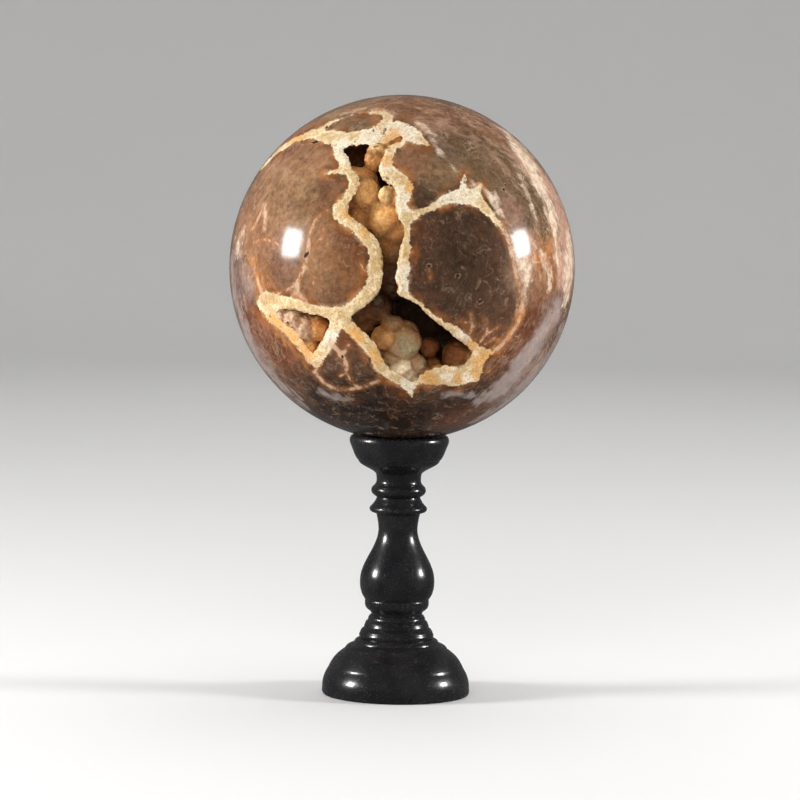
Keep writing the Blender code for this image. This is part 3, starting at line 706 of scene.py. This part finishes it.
# The ground colours of the stone, each soft patch as (across, up), size, colour; the near-black
# patches low on the ball are partly painted shade. A patch whose size is below 0 is on the ball's
# far side.
TAUPE = (0.048, 0.026, 0.015)
SEPIA = (0.090, 0.046, 0.026)
TAN = (0.250, 0.146, 0.072)
CLAY = (0.225, 0.108, 0.055)
RUST = (0.125, 0.042, 0.018)
COPPER = (0.200, 0.088, 0.036)
OLIVE = (0.132, 0.082, 0.042)
ORANGE = (0.300, 0.120, 0.045)
ROSE = (0.440, 0.255, 0.175)
LILAC = (0.185, 0.125, 0.105)
# near black, used only low on the ball, darkening it towards its bottom: partly the stone's own
# colour, partly painted shade
BLACK_AND_SHADE = (0.016, 0.010, 0.007)
SLATE = (0.052, 0.040, 0.028)
PINK = (0.300, 0.165, 0.110)
PATCHES = (
    ((0.30, 0.20), 0.16, TAUPE), ((0.20, 0.05), 0.16, TAUPE), ((0.42, 0.05), 0.16, TAUPE),
    ((0.35, -0.15), 0.17, TAUPE), ((0.50, -0.25), 0.13, SEPIA), ((0.18, -0.12), 0.10, SEPIA),
    ((0.48, -0.38), 0.08, RUST), ((0.10, 0.18), 0.07, RUST), ((0.55, 0.10), 0.08, SEPIA),
    ((-0.36, 0.03), 0.12, COPPER), ((-0.27, -0.05), 0.08, COPPER),
    ((-0.36, -0.14), 0.08, SEPIA), ((-0.30, 0.18), 0.06, RUST), ((-0.42, 0.14), 0.07, CLAY),
    ((-0.46, -0.10), 0.07, CLAY),
    ((-0.24, 0.10), 0.07, RUST), ((-0.50, -0.02), 0.10, TAN), ((-0.62, -0.08), 0.10, SEPIA),
    ((-0.66, 0.02), 0.08, RUST), ((-0.48, 0.15), 0.07, CLAY),
    ((-0.65, 0.40), 0.17, TAN), ((-0.72, 0.22), 0.14, CLAY), ((-0.55, 0.25), 0.12, TAN),
    ((-0.43, 0.45), 0.06, RUST), ((-0.46, 0.33), 0.06, RUST), ((-0.55, 0.58), 0.11, CLAY),
    ((-0.62, 0.67), 0.05, RUST), ((-0.82, 0.10), 0.10, CLAY), ((-0.86, 0.35), 0.09, CLAY),
    ((-0.88, -0.12), 0.07, LILAC), ((-0.94, -0.02), 0.06, LILAC), ((-0.85, -0.30), 0.08, RUST),
    ((-0.76, -0.12), 0.06, ORANGE), ((-0.74, -0.28), 0.05, ORANGE),
    ((-0.60, -0.46), 0.10, RUST), ((-0.70, -0.42), 0.10, RUST), ((-0.50, -0.58), 0.08, SEPIA),
    ((-0.55, -0.44), 0.05, ORANGE), ((-0.80, -0.52), 0.07, LILAC), ((-0.60, -0.70), 0.08, SEPIA),
    ((-0.30, -0.40), 0.05, RUST), ((-0.34, -0.55), 0.07, SEPIA), ((-0.22, -0.52), 0.07, SEPIA),
    ((-0.45, -0.72), 0.10, BLACK_AND_SHADE), ((-0.20, -0.75), 0.13, BLACK_AND_SHADE), ((0.10, -0.82), 0.14, BLACK_AND_SHADE),
    ((-0.25, -0.90), 0.14, BLACK_AND_SHADE), ((0.20, -0.70), 0.08, SEPIA), ((0.38, -0.70), 0.08, BLACK_AND_SHADE),
    ((0.00, -0.70), 0.06, RUST), ((0.30, -0.86), 0.09, RUST), ((0.45, -0.78), 0.10, SEPIA),
    ((0.60, -0.45), 0.09, RUST), ((0.72, -0.30), 0.08, RUST), ((0.55, -0.58), 0.08, SEPIA),
    ((0.72, -0.52), 0.09, LILAC), ((0.84, -0.28), 0.07, LILAC), ((0.60, -0.72), 0.08, LILAC),
    ((0.88, -0.42), 0.07, SEPIA), ((0.80, 0.02), 0.08, ORANGE), ((0.74, -0.10), 0.07, CLAY),
    ((0.92, 0.05), 0.06, ROSE), ((0.94, 0.25), 0.08, ROSE), ((0.85, 0.42), 0.07, ROSE),
    ((0.78, 0.30), 0.08, OLIVE), ((0.70, 0.42), 0.08, OLIVE), ((0.68, 0.62), 0.06, ROSE),
    ((0.55, 0.58), 0.10, OLIVE), ((0.40, 0.62), 0.11, OLIVE), ((0.28, 0.70), 0.10, OLIVE),
    ((0.52, 0.80), 0.09, CLAY), ((0.22, 0.86), 0.11, CLAY), ((0.00, 0.93), 0.12, CLAY),
    ((-0.28, 0.93), 0.10, TAN), ((-0.26, 0.80), 0.05, OLIVE), ((0.20, 0.55), 0.09, TAN),
    ((0.06, 0.60), 0.07, CLAY), ((0.14, 0.42), 0.06, TAUPE), ((0.20, 0.44), 0.06, OLIVE),
    ((-0.60, 0.78), 0.08, CLAY), ((0.66, 0.14), 0.05, ROSE),
    ((0.12, 0.36), 0.06, SLATE), ((0.22, 0.66), 0.07, SLATE), ((-0.47, 0.42), 0.05, SEPIA),
    ((-0.62, -0.02), 0.06, PINK), ((-0.66, 0.14), 0.07, PINK), ((-0.05, -0.78), 0.12, BLACK_AND_SHADE),
    ((0.05, -0.95), 0.16, BLACK_AND_SHADE), ((-0.32, -0.66), 0.06, BLACK_AND_SHADE), ((0.12, 0.78), 0.06, PINK),
    ((0.62, 0.30), 0.06, PINK), ((0.76, 0.12), 0.06, ORANGE), ((0.66, -0.02), 0.06, ROSE),
    ((0.17, 0.16), 0.05, SEPIA), ((0.05, 0.05), 0.03, RUST), ((0.05, -0.04), 0.03, RUST),
    ((0.55, 0.45), -0.35, CLAY), ((-0.45, 0.50), -0.35, SEPIA), ((0.30, -0.30), -0.35, TAUPE),
    ((-0.50, -0.25), -0.35, RUST), ((0.00, 0.10), -0.30, TAN), ((0.70, -0.20), -0.25, RUST),
    ((-0.80, 0.10), -0.25, OLIVE), ((0.05, 0.75), -0.30, OLIVE), ((0.00, -0.80), -0.30, BLACK_AND_SHADE),
)


FAR_OFF = 9.0  # in shares of the radius, further than any place on the ball


def outside(strokes, across, up):
    """How far each place is outside the nearest tapering stroke, in shares of the radius."""
    least = np.full(len(across), FAR_OFF)
    for stroke in strokes:
        for (x0, y0, half0), (x1, y1, half1) in zip(stroke, stroke[1:]):
            dx, dy = x1 - x0, y1 - y0
            along = np.clip(((across - x0) * dx + (up - y0) * dy) / (dx * dx + dy * dy), 0, 1)
            gap = np.hypot(across - x0 - along * dx, up - y0 - along * dy)
            least = np.minimum(least, gap - half0 - along * (half1 - half0))
    return least


def pitted(across, up):
    """0 in the middle of the nearest hole and 1 on its edge."""
    least = np.full(len(across), FAR_OFF)
    for (x, y), half, tall, lean in PITS:
        dx, dy = across - x, up - y
        sx = dx * math.cos(lean) + dy * math.sin(lean)
        sy = dy * math.cos(lean) - dx * math.sin(lean)
        least = np.minimum(least, np.hypot(sx / half, sy / tall))
    return least


# Where the rims are stained orange, and where they are whitest: (across, up), size.
STAINS = (
    ((-0.06, 0.72), 0.07), ((0.47, -0.50), 0.07), ((0.16, -0.61), 0.06), ((-0.52, -0.46), 0.08),
    ((-0.14, -0.50), 0.06), ((-0.25, -0.38), 0.06), ((0.04, 0.45), 0.05), ((-0.60, 0.70), 0.07),
    ((0.05, 0.06), 0.03), ((0.40, -0.42), 0.05), ((-0.71, -0.32), 0.07), ((0.32, -0.61), 0.03),
    ((-0.63, -0.39), 0.08), ((0.43, -0.58), 0.05), ((-0.66, -0.27), 0.04), ((-0.08, 0.60), 0.05),
    ((-0.30, 0.29), 0.05), ((-0.20, 0.22), 0.05),
)
FROST = (
    ((0.00, 0.75), 0.13), ((-0.09, 0.58), 0.07), ((0.00, 0.36), 0.08), ((0.30, 0.42), 0.14),
    ((0.02, -0.05), 0.09), ((-0.34, 0.66), 0.08), ((-0.40, -0.40), 0.07), ((0.26, -0.61), 0.04),
    ((0.38, -0.61), 0.04), ((-0.20, 0.74), 0.08), ((0.04, -0.66), 0.06), ((0.35, -0.38), 0.06),
)


def spotted(spots, across, up):
    """How near each place is to the middle of one of these spots, from 0 to 1."""
    most = np.zeros(len(across))
    for (x, y), size in spots:
        most = np.maximum(most, np.exp(-((across - x) ** 2 + (up - y) ** 2) / (size * size)))
    return most


def mixed(shares, tints, base, trace):
    """The colour of each point by its share of each tint, and the base where it has none."""
    total = np.full((len(shares[0]), 1), trace)
    colour = np.tile(np.array(base) * trace, (len(shares[0]), 1))
    for share, tint in zip(shares, tints):
        total[:, 0] += share
        colour += share[:, None] * np.array(tint)
    return colour / total


def ground_colours(places):
    """The colour of each place (in shares of the radius), from the soft patches round it."""
    shares = []
    for (across, up), size, tint in PATCHES:
        out = surface_out(across, up) * (1 if size > 0 else -1)
        gap = ((places - np.array((across, up, out))) ** 2).sum(1)
        shares.append(np.exp(-gap / (1.7 * size * size)))
    return mixed(shares, [patch[2] for patch in PATCHES], SEPIA, 1e-9)


def layered(across, up):
    """How clearly the stone shows its layers: most round the edge of its face."""
    share = np.clip((np.hypot(across, up) - LAYERED_FROM) / LAYERED_OVER, 0.0, 1.0)
    share *= np.clip((up - LAYERED_LOWEST) / LAYERED_OVER, 0.0, 1.0)
    return np.where(across > -0.2, share, 0.45 * share)


def keep_width(mesh, name, shares):
    """Stores a width, given in shares of the radius, in mm."""
    keep(mesh, name, shares * BALL_RADIUS * 1000)


def keep_colour(mesh, name, colours):
    """Stores one colour for each point of the mesh."""
    held = mesh.attributes.new(name, "FLOAT_COLOR", "POINT")
    held.data.foreach_set("color", np.column_stack(
        [colours, np.ones(len(colours))]).astype(np.float32).ravel())


BUBBLE_POINTS = 200  # a closed skin with fewer points than this is a bubble


def drop_bubbles(mesh):
    """Removes the tiny closed bubbles that the rough skin can pinch off inside the stone."""
    with edited(mesh) as form:
        left = set(form.verts)
        doomed = []
        while left:
            first = left.pop()
            skin = {first}
            front = [first]
            while front:
                for edge in front.pop().link_edges:
                    for point in edge.verts:
                        if point not in skin:
                            skin.add(point)
                            front.append(point)
            left -= skin
            if len(skin) < BUBBLE_POINTS:
                doomed.extend(skin)
        bmesh.ops.delete(form, geom=doomed, context="VERTS")


POLISH = 0.00012  # a point this near to the true ball is on its polished face


def mark_faces(mesh):
    """Sorts the faces into polished ones and crystal ones, with a sharp edge between them."""
    with edited(mesh) as form:
        for face in form.faces:
            face.smooth = True
            outer = all(abs((point.co - BALL_CENTRE).length - BALL_RADIUS) < POLISH
                        for point in face.verts)
            face.material_index = 0 if outer else 1
        for edge in form.edges:
            sides = {face.material_index for face in edge.link_faces}
            edge.smooth = len(sides) < 2


WORN_WIDTH = 1.3  # a mouth's edge is worn down from this far, in mm
WORN_DEPTH = 0.4  # and by this much on the edge itself
WORN_PATCH = 1.6  # the size of its more and less worn patches


def soften_mouths(mesh):
    """Wears the edges of the mouths down a little, and unevenly, as crystal wears."""
    with edited(mesh) as form:
        on_edge = [point for point in form.verts
                   if len({face.material_index for face in point.link_faces}) > 1]
        nearest = KDTree(len(on_edge))
        for number, point in enumerate(on_edge):
            nearest.insert(point.co, number)
        nearest.balance()
        for point in form.verts:
            gap = nearest.find(point.co)[2] * 1000
            if gap < WORN_WIDTH:
                share = (1.0 - gap / WORN_WIDTH) ** 2
                share *= 0.75 + 0.5 * noise.noise(point.co * 1000 / WORN_PATCH)
                inwards = (BALL_CENTRE - point.co).normalized()
                point.co += inwards * (WORN_DEPTH / 1000 * share)


def mark_growth(mesh, places):
    """Keeps the depth, the nearest knob, the crease beside it and the colour of the crystal."""
    gaps = [np.linalg.norm(places - np.array((x, y, surface_out(x, y) - z)), axis=1) - size * GROWTH
            for (x, y, z), size, tint in KNOBS]
    nearest, second = np.partition(gaps, 1, axis=0)[:2]
    keep_width(mesh, "depth", 1.0 - np.linalg.norm(places, axis=1))
    keep_width(mesh, "knob", nearest)
    keep_width(mesh, "crease", second - nearest)
    shares = [np.exp(-np.clip(gap, 0.0, 1.0) / KNOB_BLEND) for gap in gaps]
    keep_colour(mesh, "growth", mixed(shares, [knob[2] for knob in KNOBS], UMBER, 1e-6))


def mark_stone(mesh):
    """Keeps what the two finishes of the stone read at each point of the ball."""
    places = (points_of(mesh) - np.array(BALL_CENTRE)) / BALL_RADIUS
    places = places @ np.array(FACE.to_3x3().normalized())
    across, up, out = places.T
    # a stroke fades out before it comes to the ball's far side
    beyond = FADE * np.clip(FADE_FROM - out, 0.0, 1.0)
    lips = tuple(tuple((x, y, LIP) for x, y in mouth + mouth[:1])
                 for mouth in (MAIN_MOUTH, SIDE_MOUTH))
    # the crystal also closes a narrow gap between a rim and the mouth beside it
    lip = outside(lips, across, up)
    closed = -CLOSING * np.log(np.exp(-outside(RIMS, across, up) / CLOSING)
                               + np.exp(-lip / CLOSING) + 1e-30)
    keep_width(mesh, "mouth", lip + LIP + beyond)
    keep_width(mesh, "rim", np.maximum(closed + beyond, -outside(NOTCHES, across, up)))
    for name, strokes in (("crack", CRACKS), ("white_band", WHITE_BANDS),
                          ("painted_grey_reflection", PAINTED_GREY_REFLECTIONS), ("orange_band", ORANGE_BANDS)):
        keep_width(mesh, name, outside(strokes, across, up) + beyond)
    keep(mesh, "pit", pitted(across, up) + 100.0 * beyond)
    keep(mesh, "behind", np.clip(0.5 - out / 0.3, 0.0, 1.0))
    keep(mesh, "warm", spotted(STAINS, across, up))
    keep(mesh, "frost", spotted(FROST, across, up))
    keep(mesh, "layers", layered(across, up))
    keep_colour(mesh, "ground", ground_colours(places))
    mark_growth(mesh, places)


FELT = (0.42, 0.29, 0.20)  # the paler brown of the fibres and the smoke in the stone


def stone_ground(finish, drift):
    """The ground: clouds, mottling at three sizes, felted fibres, smoke and specks."""
    cloud = finish.grain(17.0, 4.0, 0.6, 0.6)
    fleck = finish.grain(2.6, 5.0, 0.70)
    dots = finish.grain(0.9, 3.0, 0.6)
    colour = finish.tinted(finish.held("ground", "Color"),
                           0.05 + 0.84 * cloud + 0.54 * fleck.ramp(0.32, 0.68) + 0.36 * dots)
    rusty = finish.grain(7.0, 5.0, 0.65, 0.8).ramp(0.50, 0.66)
    colour = finish.blend(rusty * 0.32, colour, RUST)
    dark = finish.grain(6.0, 6.0, 0.66, 0.7).ramp(0.46, 0.32)
    colour = finish.blend(dark * finish.grain(24.0, 2.0).ramp(0.38, 0.58) * 0.80, colour, TAUPE)
    light = finish.grain(4.5, 6.0, 0.64, 0.9).ramp(0.56, 0.70)
    colour = finish.blend(light * 0.42, colour, (0.36, 0.225, 0.13))
    clumps = finish.grain(8.0, 3.0, 0.6).ramp(0.44, 0.62)
    fibres = 0.0
    for turn, width in (((0.4, 0.2, 0.9), 0.62), ((1.3, 0.9, 0.3), 0.80), ((0.7, 2.3, 1.6), 1.30)):
        combed = finish.node("ShaderNodeMapping", {}, {
            "Vector": drift, "Rotation": turn, "Scale": (1.0, 1.0, 0.20)})
        hairs = finish.grain(width, 3.0, 0.6, 0.4, combed).ramp(0.56, 0.74)
        fibres = hairs.most(fibres)
    colour = finish.blend(fibres * (0.02 + 0.12 * clumps), colour, FELT)
    smoke = finish.grain(5.0, 6.0, 0.70, 0.5).ramp(0.55, 0.72)
    colour = finish.blend(smoke * 0.16, colour, FELT)
    speck = finish.cells(3.2).ramp(0.15, 0.06) * finish.grain(12.0, 2.0).ramp(0.48, 0.60)
    colour = finish.blend(speck * 0.40, colour, (0.42, 0.28, 0.18))
    return colour, fleck


def stone_bands(finish, colour, fleck, drift):
    """The streaky bands, the grey painted reflections and the hair veins, most of them where the
    stone is layered.
    """
    layered_place = finish.node("ShaderNodeVectorMath", {"operation": "MULTIPLY"},
                                {0: drift, 1: (1.0, 2.4, 1.0)})
    streak = finish.grain(9.0, 5.0, 0.60, 0.0, layered_place)
    layers = finish.held("layers")
    colour = finish.blend(streak.ramp(0.51, 0.60) * layers * 0.36, colour, ROSE)
    colour = finish.blend(streak.ramp(0.47, 0.38) * layers * 0.40, colour, RUST)
    frayed = finish.wobble(4.4, 4.0, 5.0, 0.72) + 9.0 * (streak - 0.5) + 0.3
    # the grey strokes are painted reflections
    grey = (finish.held("painted_grey_reflection") + frayed).ramp(1.0, -1.6)
    colour = finish.blend(grey * (0.42 + 0.60 * fleck), colour, (0.320, 0.262, 0.240))
    orange = (finish.held("orange_band") + frayed).ramp(1.2, -1.2)
    colour = finish.blend(orange * (0.40 + 0.70 * fleck), colour, (0.500, 0.205, 0.062))
    white = (finish.held("white_band") + frayed).ramp(1.0, -1.6)
    colour = finish.blend(white * (0.40 + 0.70 * fleck.ramp(0.36, 0.60)), colour,
                          (0.70, 0.545, 0.405))
    veined = finish.grain(9.0, 3.0, 0.6).ramp(0.44, 0.60)
    vein = abs(finish.grain(13.0, 6.0, 0.62, 1.0, layered_place) - 0.5).ramp(0.016, 0.003)
    hair = abs(finish.grain(6.0, 5.0, 0.60, 1.2, drift) - 0.5).ramp(0.018, 0.003)
    vein = (vein * (0.10 + 0.55 * layers)).most(hair * (0.02 + 0.30 * layers))
    colour = finish.blend(vein * veined, colour, (0.60, 0.43, 0.305))
    return colour


def stone_rims(finish, colour, drift):
    """The cream rims and the stain round them. Also gives the way to a rim, and its grain."""
    wander = (finish.wobble(2.6, 6.5, 2.0) + finish.wobble(2.6, 2.0, 5.0, 0.75)
              + finish.wobble(1.4, 0.9, 2.0) + 0.15)
    bent = finish.wandering(drift, 24.0, 1.0, 0.055)
    far = finish.cells(50.0, "DISTANCE_TO_EDGE", bent) * 50.0
    far = far - 0.25 - 3.2 * finish.grain(26.0, 2.0).ramp(0.42, 0.66)
    far = far + (1.0 - finish.held("behind")) * 9.0
    rim = finish.held("rim").least(far) + wander
    stain = rim.ramp(4.2, 0.0) * finish.grain(7.5, 3.0).ramp(0.40, 0.62)
    colour = finish.blend(stain * 0.75, colour, (0.36, 0.120, 0.028))
    # beside a rim the stone is dark and red in some places and paler in others
    margin = finish.grain(8.5, 4.0, 0.6).ramp(0.42, 0.56)
    colour = finish.blend(rim.ramp(3.0, 0.4) * margin * 0.50, colour, (0.062, 0.023, 0.010))
    colour = finish.blend(rim.ramp(1.6, 0.1) * (1.0 - margin) * 0.50, colour,
                          (0.40, 0.235, 0.125))
    sugar = finish.cells(0.8)
    warm = (finish.held("warm") + finish.wobble(1.3, 5.0, 3.0)).ramp(0.25, 0.85)
    frost = (finish.held("frost") + finish.wobble(1.2, 4.0, 3.0)).ramp(0.25, 0.80)
    cream = finish.blend(finish.grain(5.5, 5.0, 0.65).ramp(0.36, 0.62), (0.61, 0.430, 0.215),
                         (0.82, 0.635, 0.400))
    cream = finish.blend(frost * 0.80, cream, (0.86, 0.765, 0.605))
    # the middle of a wide rim is sandier than its two edges
    core = rim.ramp(-0.5, -1.5) * finish.grain(2.2, 4.0, 0.65).ramp(0.40, 0.55)
    cream = finish.blend(core * (1.0 - 0.6 * frost) * 0.75, cream, (0.50, 0.325, 0.135))
    cream = finish.blend(finish.grain(1.3, 3.0, 0.6).ramp(0.46, 0.30) * 0.60, cream,
                         (0.46, 0.25, 0.10))
    cream = finish.blend(warm * 0.75, cream, (0.68, 0.33, 0.085))
    cream = finish.tinted(cream, 0.80 - 0.40 * sugar + 0.66 * finish.grain(0.75, 3.0, 0.6))
    colour = finish.blend(rim.ramp(0.28, -0.26), colour, cream)
    return colour, rim, sugar


def stone_cracks(finish, colour):
    """The healed cracks, and the ringed small holes painted dark as painted shade. Also gives where
    the holes are.
    """
    crack = finish.held("crack") + finish.wobble(1.6, 2.4, 4.0, 0.65) + 0.15
    healed = crack.ramp(0.30, -0.30) * finish.grain(3.0, 4.0, 0.6).ramp(0.36, 0.56)
    colour = finish.blend(crack.ramp(1.8, 0.0) * 0.35, colour, (0.30, 0.105, 0.032))
    colour = finish.blend(healed * 0.70, colour, (0.58, 0.39, 0.25))
    pit = finish.held("pit") + finish.wobble(0.5, 0.9, 2.0)
    ring = pit.ramp(1.9, 1.1) * finish.grain(1.4, 3.0).ramp(0.40, 0.60)
    colour = finish.blend(ring * 0.45, colour, (0.50, 0.34, 0.23))
    pinhole = finish.cells(7.0).ramp(0.045, 0.025) * finish.grain(20.0, 2.0).ramp(0.48, 0.56)
    hole = pit.ramp(1.15, 0.85).most(pinhole)
    # the holes are not cut into the mesh: their near-black colour is painted shade
    return finish.blend(hole, colour, (0.040, 0.016, 0.008)), hole


def polished_stone():
    """Polished nodules: mottled brown stone, cream crystal rims, healed cracks and small holes."""
    finish = Finish("polished_nodule_stone", SEPIA, 0.12)
    drift = finish.wandering(finish.place, 70.0, 2.0, 0.012)
    colour, fleck = stone_ground(finish, drift)
    colour = stone_bands(finish, colour, fleck, drift)
    colour, rim, sugar = stone_rims(finish, colour, drift)
    colour, hole = stone_cracks(finish, colour)
    finish.set("Base Color", colour)
    inside = rim.ramp(0.1, -0.2)
    mouth = finish.held("mouth") + finish.wobble(1.0, 1.6, 3.0)
    dull = mouth.ramp(1.4, 0.3)
    finish.set("Roughness", 0.12 + 0.07 * fleck + 0.30 * inside + 0.70 * hole + 0.25 * dull)
    finish.set("Specular IOR Level", 0.24)
    bump = finish.relief(mouth.ramp(-0.1, 1.5), 0.15)
    bump = finish.relief(sugar * inside, -0.22, bump)
    bump = finish.relief(hole, -0.5, bump)
    finish.set("Normal", bump)
    return finish.material


def grown_crystal():
    """The hollow's skin: sugary crystal, cream at the mouth and rust brown in the depth, which is
    partly painted shade, with painted shade in the creases between knobs.
    """
    finish = Finish("grown_crystal", HONEY, 0.4)
    depth = finish.held("depth") + finish.wobble(2.2, 4.0, 3.0)
    # the wall darkens with depth from cream through amber and brick to umber: partly the crystal's
    # own colour, partly painted shade
    wall = finish.blend(depth.ramp(1.2, 4.5), (0.66, 0.47, 0.24), AMBER)
    wall = finish.blend(depth.ramp(4.0, 11.0), wall, BRICK)
    wall = finish.blend(depth.ramp(10.0, 20.0), wall, UMBER)
    bare = (finish.held("knob") + finish.wobble(0.8, 2.0, 2.0)).ramp(0.5, 1.8)
    colour = finish.blend(bare, finish.held("growth", "Color"), wall)
    tint = finish.grain(3.4, 4.0, 0.6)
    colour = finish.blend(tint.ramp(0.52, 0.72) * 0.30, colour, (0.84, 0.62, 0.34))
    colour = finish.blend(tint.ramp(0.46, 0.30) * 0.40, colour, (0.30, 0.11, 0.03))
    grit = finish.cells(0.95)
    coarse = finish.cells(2.1)
    apart = finish.held("crease") + 1.5 * (tint - 0.5)
    # painted shade: the crystal goes darker and redder into the creases between knobs
    colour = finish.blend(apart.ramp(4.5, 1.0) * (1.0 - bare) * 0.45, colour,
                          (0.46, 0.175, 0.045))
    colour = finish.blend(apart.ramp(1.6, 0.0) * (1.0 - bare) * 0.60, colour,
                          (0.16, 0.055, 0.016))
    # little light reaches the bottom of the hollow
    shade = depth.ramp(6.0, 20.0, 1.0, 0.42)
    colour = finish.tinted(colour, (1.18 - 0.42 * grit - 0.18 * coarse) * shade)
    finish.set("Base Color", colour)
    glint = finish.node("ShaderNodeSeparateColor", {}, {0: finish.cells(0.8, output="Color")})
    finish.set("Roughness", 0.30 + 0.42 * glint)
    finish.set("Normal", finish.relief(grit, -0.16, finish.relief(coarse, -0.25)))
    finish.set("Subsurface Weight", 0.12)
    finish.set("Subsurface Radius", (0.006, 0.003, 0.0015))
    finish.set("Subsurface Scale", 0.6)
    return finish.material


ball = cut_by(whole_ball(), hollow())
drop_bubbles(ball.data)
ball.data.materials.clear()
ball.data.materials.append(polished_stone())
ball.data.materials.append(grown_crystal())
mark_faces(ball.data)
soften_mouths(ball.data)
mark_stone(ball.data)
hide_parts("mineral_ball")
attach(ball, "root")


# The studio: a round room of pale paper whose floor runs up into its wall, a softbox at each side,
# soft light from above and in front, and the camera where the photographer stood.

FLOOR_RADIUS = 2.0
ROOM_CURVE = 1.2  # radius of the curve between the floor and the wall
WALL_TOP = 4.0
CURVE_STEPS = 12
ROOM_FACETS = 64
room_path = [(0.0, 0.0), (FLOOR_RADIUS, 0.0)]
for step in range(1, CURVE_STEPS + 1):
    turn = math.pi / 2 * step / CURVE_STEPS
    room_path.append((FLOOR_RADIUS + ROOM_CURVE * math.sin(turn),
                      ROOM_CURVE * (1 - math.cos(turn))))
room_path.append((FLOOR_RADIUS + ROOM_CURVE, WALL_TOP))
paper = turned("paper_room", room_path, ROOM_FACETS)
paper_finish = Finish("pale_paper", (0.72, 0.715, 0.705), 0.8)
paper_finish.set("Base Color", paper_finish.blend(
    paper_finish.grain(240.0, 2.0), (0.71, 0.705, 0.695), (0.73, 0.725, 0.715)))
paper.data.materials.append(paper_finish.material)
paper.visible_glossy = False

sky = bpy.data.worlds.new("studio")
sky.use_nodes = True
sky_light = sky.node_tree.nodes["Background"].inputs
sky_light["Color"].default_value = (0.95, 0.97, 1.0, 1.0)
sky_light["Strength"].default_value = 0.13
bpy.context.scene.world = sky

SOFTBOXES = (
    # direction from the ball, distance, width, height, watts, whether its own shape is mirrored
    ((-0.952, -0.200, 0.208), 1.2, 0.28, 0.27, 16.0, True),
    ((0.972, -0.068, 0.225), 1.2, 0.23, 0.20, 12.0, True),
    ((0.10, 0.35, 1.0), 2.2, 2.6, 2.6, 34.0, False),
    ((-0.15, -1.0, 0.42), 1.8, 1.2, 0.8, 13.0, False),
)
for direction, distance, width, height, watts, mirrored in SOFTBOXES:
    lamp = bpy.data.lights.new("softbox", "AREA")
    lamp.shape = "RECTANGLE"
    lamp.size = width
    lamp.size_y = height
    lamp.energy = watts
    softbox = bpy.data.objects.new("softbox", lamp)
    bpy.context.collection.objects.link(softbox)
    softbox.location = BALL_CENTRE + Vector(direction).normalized() * distance
    softbox.rotation_euler = (-Vector(direction)).to_track_quat("-Z", "Y").to_euler()
    softbox.visible_glossy = mirrored
    softbox.visible_camera = False

CAMERA_PLACE = (0.0, -1.449, 0.2334)
CAMERA_DOWN = 4.46  # in degrees, and so is the roll
CAMERA_ROLL = 0.9
lens = bpy.data.cameras.new("camera")
lens.sensor_width = 36.0
lens.lens = 160.8
camera = bpy.data.objects.new("camera", lens)
bpy.context.collection.objects.link(camera)
camera.matrix_world = (Matrix.Translation(CAMERA_PLACE)
                       @ Matrix.Rotation(math.radians(90 - CAMERA_DOWN), 4, "X")
                       @ Matrix.Rotation(math.radians(CAMERA_ROLL), 4, "Z"))
bpy.context.scene.camera = camera
bpy.context.scene.view_settings.view_transform = "Standard"
